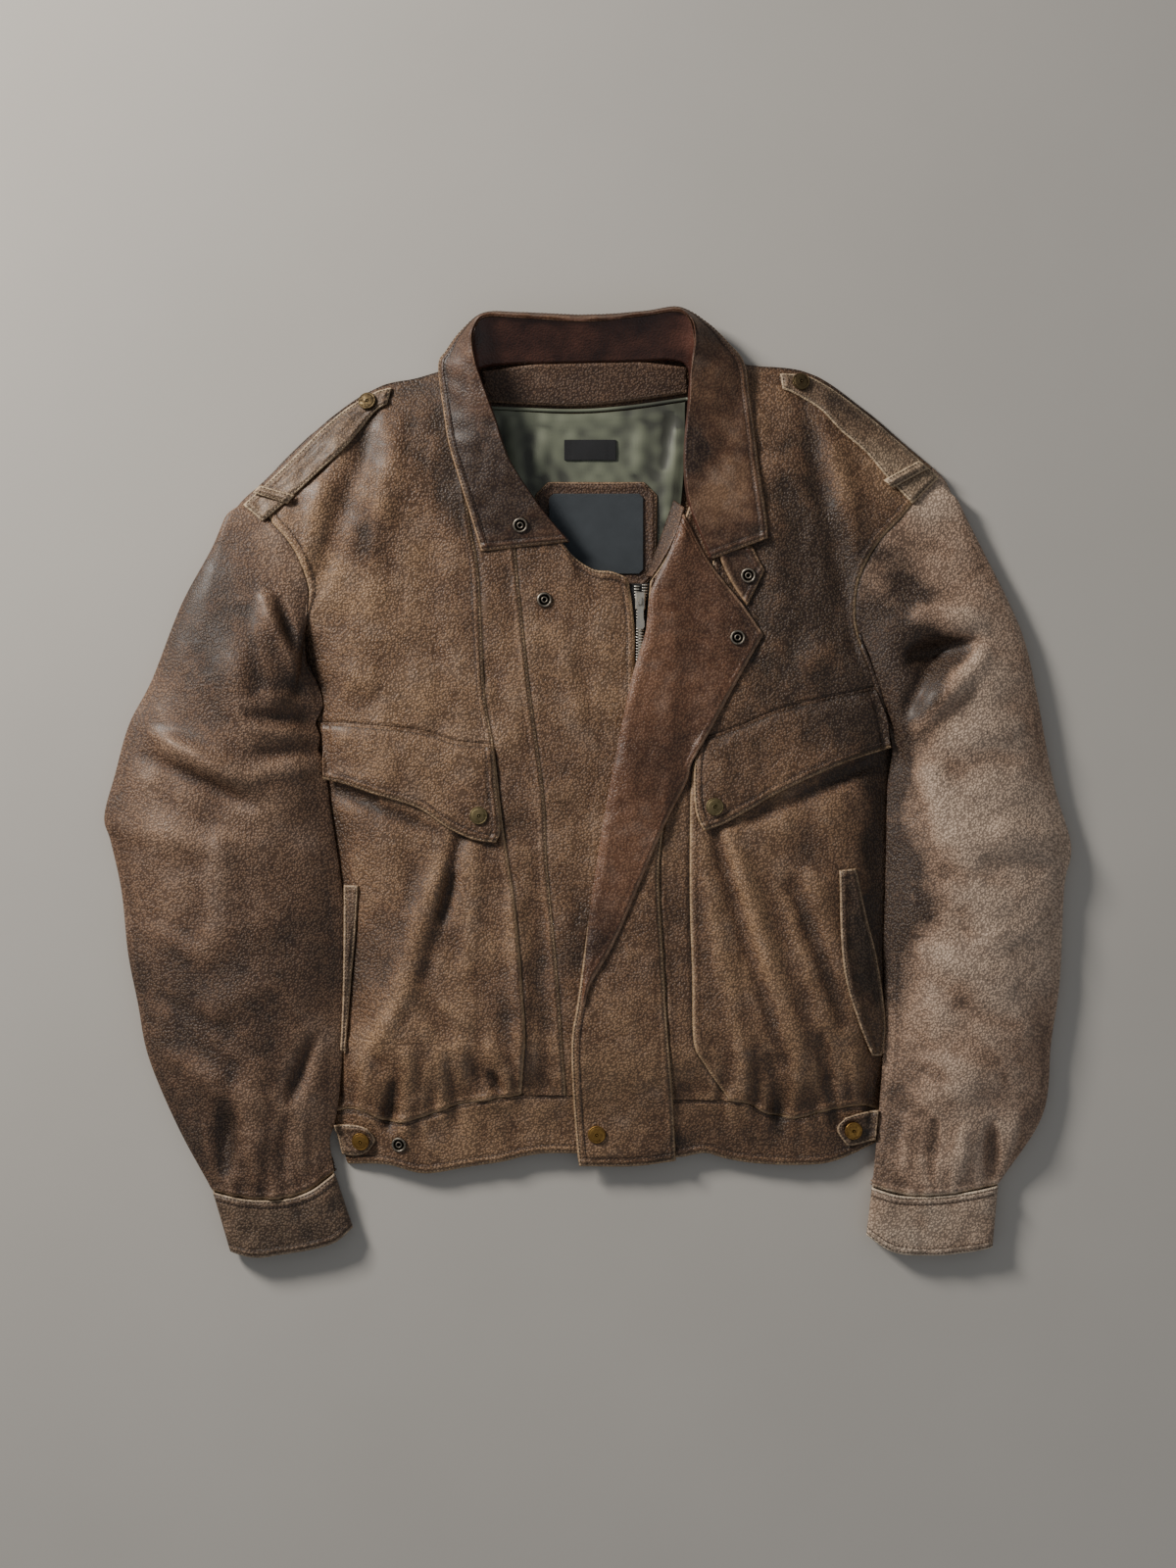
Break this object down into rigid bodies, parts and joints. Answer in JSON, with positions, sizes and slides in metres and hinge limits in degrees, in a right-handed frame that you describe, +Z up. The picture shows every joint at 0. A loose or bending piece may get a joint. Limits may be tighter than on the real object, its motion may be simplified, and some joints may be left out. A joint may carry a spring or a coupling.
{
  "type": "worn leather jacket",
  "caption": "Worn brown leather blouson laid flat on its back: zip shut to the chest, collar open, fly flap turned back, shoulder straps, snap flaps, waistband and cuffs.",
  "frame": {"origin": "on the underside of the back panel, on the line between the two fronts' middles, where the jacket rests", "axes": "+X towards the wearer's left, +Y from the hem to the collar, +Z up from the floor through the front"},
  "size_m": [0.8893, 0.8736, 0.0454],
  "materials": {
    "jacket_leather": "worn cowhide, pebbled grain, scuffed at edges and folds",
    "facing_leather": "redder, less worn facing leather",
    "collar_leather": "brown collar leather, dark oxblood inside",
    "lining_satin": "olive green satin",
    "label_weave": "plain woven labels, black and slate grey",
    "zip_tape_cotton": "black cotton tape",
    "zip_nickel": "worn nickel plate",
    "cap_brass": "antique brass",
    "socket_gunmetal": "dark gunmetal"
  },
  "bodies": {
    "jacket": {"back_panel": "jacket_leather", "yoke_right": "jacket_leather", "yoke_left": "jacket_leather", "front_right": "jacket_leather", "front_left": "jacket_leather", "strip_right": "jacket_leather", "strip_left": "jacket_leather", "placket_right": "jacket_leather", "placket_left": "jacket_leather", "waistband_right": "jacket_leather", "waistband_left": "jacket_leather", "waistband_back": "jacket_leather", "sleeve_right_top": "jacket_leather", "sleeve_left_top": "jacket_leather", "sleeve_right_under": "jacket_leather", "sleeve_left_under": "jacket_leather", "cuff_right": "jacket_leather", "cuff_left": "jacket_leather", "chest_flap_right": "jacket_leather", "chest_flap_left": "jacket_leather", "pocket_welt_right": "jacket_leather", "pocket_welt_left": "jacket_leather", "epaulette_right": "jacket_leather", "epaulette_left": "jacket_leather", "keeper_right": "jacket_leather", "keeper_left": "jacket_leather", "waist_tab_right": "jacket_leather", "waist_tab_left": "jacket_leather", "collar_tab_left": "jacket_leather", "fly_flap": "jacket_leather", "fly_facing": "facing_leather", "neck_facing_left": "facing_leather", "neck_band": "facing_leather", "label_patch": "facing_leather", "collar": "collar_leather", "lining": "lining_satin", "lining_piping": "lining_satin", "label_small": "label_weave", "label_cloth": "label_weave", "zip_tape": "zip_tape_cotton", "zip_slider": "zip_nickel", "snap_epaulette_left": "cap_brass", "snap_epaulette_right": "cap_brass", "snap_flap_left": "cap_brass", "snap_flap_right": "cap_brass", "snap_fly": "cap_brass", "snap_tab_left": "cap_brass", "snap_tab_right": "cap_brass", "socket_collar": "socket_gunmetal", "socket_collar_tab": "socket_gunmetal", "socket_lapel": "socket_gunmetal", "socket_placket": "socket_gunmetal", "socket_waist": "socket_gunmetal"},
    "pull": {"zip_pull": "zip_nickel"}
  },
  "joints": [
    {"name": "pull_swing", "type": "hinge", "parent": "jacket", "child": "pull", "pos_m": [0.048, 0.168, 0.0257], "axis": [-1, 0, 0], "range_deg": [0, 160]}
  ]
}
